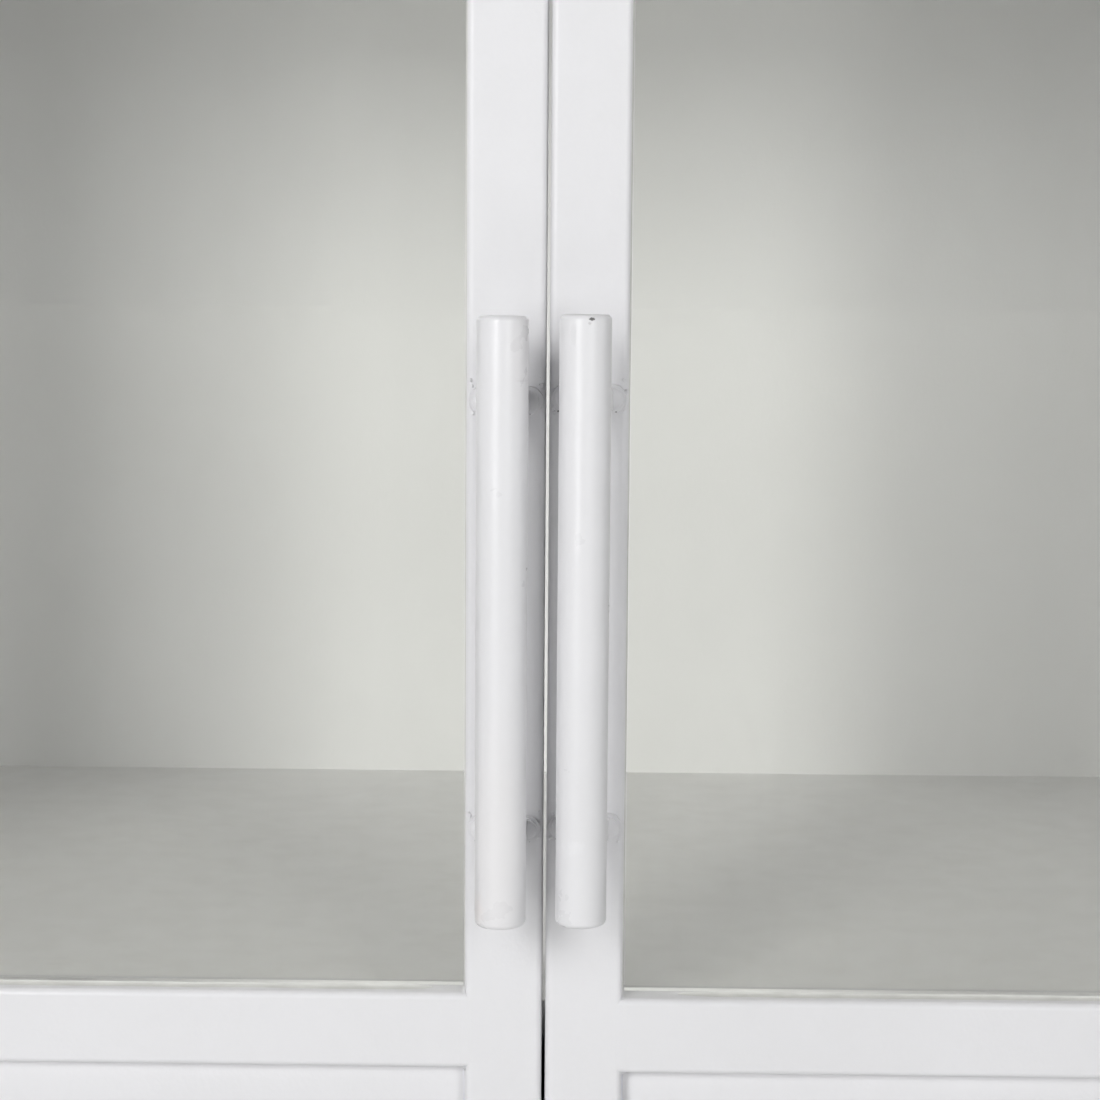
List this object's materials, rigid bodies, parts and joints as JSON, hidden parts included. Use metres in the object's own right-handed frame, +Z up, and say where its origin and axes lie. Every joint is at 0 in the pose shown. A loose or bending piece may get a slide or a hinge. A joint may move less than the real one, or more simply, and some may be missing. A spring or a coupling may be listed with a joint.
{
  "type": "apothecary cabinet",
  "caption": "Tall white steel apothecary cabinet: glazed doors over sheet lower panels, upright bar handles on the meeting stiles, a divider and loose shelves inside.",
  "frame": {"origin": "on the floor, under the centre of the whole outline, door handles included", "axes": "+Z up, +X to the right seen from the front; the doors face -Y"},
  "size_m": [0.9, 0.4964, 1.85],
  "materials": {
    "carcass_white": "satin powder coat",
    "sheet_white": "satin powder coat",
    "door_white": "satin powder coat",
    "handle_white": "satin powder coat",
    "glass": "clear float glass",
    "sealant": "translucent white silicone",
    "setting_block": "matt",
    "pin_steel": "bright turned",
    "washer_brass": "plain turned",
    "zinc": "zinc plated",
    "foot_plastic": "moulded",
    "catch_plastic": "moulded",
    "magnet": "matt",
    "bumper_rubber": "soft, clear grey"
  },
  "bodies": {
    "carcass": {"post_front_left": "carcass_white", "post_front_right": "carcass_white", "post_rear_left": "carcass_white", "post_rear_right": "carcass_white", "top_front_rail": "carcass_white", "top_rear_rail": "carcass_white", "top_side_rails": "carcass_white", "bottom_front_rail": "carcass_white", "bottom_rear_rail": "carcass_white", "bottom_side_rails": "carcass_white", "middle_side_rails": "carcass_white", "middle_rear_rail": "carcass_white", "divider_stiffeners": "carcass_white", "upper_shelf_brackets": "carcass_white", "lower_shelf_brackets": "carcass_white", "hinge_barrels": "carcass_white", "top_panel": "sheet_white", "bottom_panel": "sheet_white", "divider_shelf": "sheet_white", "upper_shelf": "sheet_white", "lower_shelf": "sheet_white", "upper_side_panels": "sheet_white", "lower_side_panels": "sheet_white", "upper_back_panel": "sheet_white", "lower_back_panel": "sheet_white", "foot_caps": "foot_plastic", "hinge_pins": "pin_steel", "hinge_washers": "washer_brass", "catch_housings": "catch_plastic", "catch_magnets": "magnet", "catch_screws": "zinc"},
    "left_door": {"left_outer_stile": "door_white", "left_meeting_stile": "door_white", "left_top_rail": "door_white", "left_middle_rail": "door_white", "left_bottom_rail": "door_white", "left_lower_panel": "door_white", "left_hinge_sleeves": "door_white", "left_handle_bar": "handle_white", "left_handle_lugs": "handle_white", "left_glass": "glass", "left_glazing_beads": "sealant", "left_setting_blocks": "setting_block", "left_strike_plate": "zinc", "left_bumpers": "bumper_rubber"},
    "right_door": {"right_outer_stile": "door_white", "right_meeting_stile": "door_white", "right_top_rail": "door_white", "right_middle_rail": "door_white", "right_bottom_rail": "door_white", "right_lower_panel": "door_white", "right_hinge_sleeves": "door_white", "right_handle_bar": "handle_white", "right_handle_lugs": "handle_white", "right_glass": "glass", "right_glazing_beads": "sealant", "right_setting_blocks": "setting_block", "right_strike_plate": "zinc", "right_bumpers": "bumper_rubber"}
  },
  "joints": [
    {"name": "left_door_hinge", "type": "hinge", "parent": "carcass", "child": "left_door", "pos_m": [-0.4185, -0.20725, 0.9744], "axis": [0, 0, -1], "range_deg": [0, 170]},
    {"name": "right_door_hinge", "type": "hinge", "parent": "carcass", "child": "right_door", "pos_m": [0.4185, -0.20725, 0.9744], "axis": [0, 0, 1], "range_deg": [0, 170]}
  ]
}
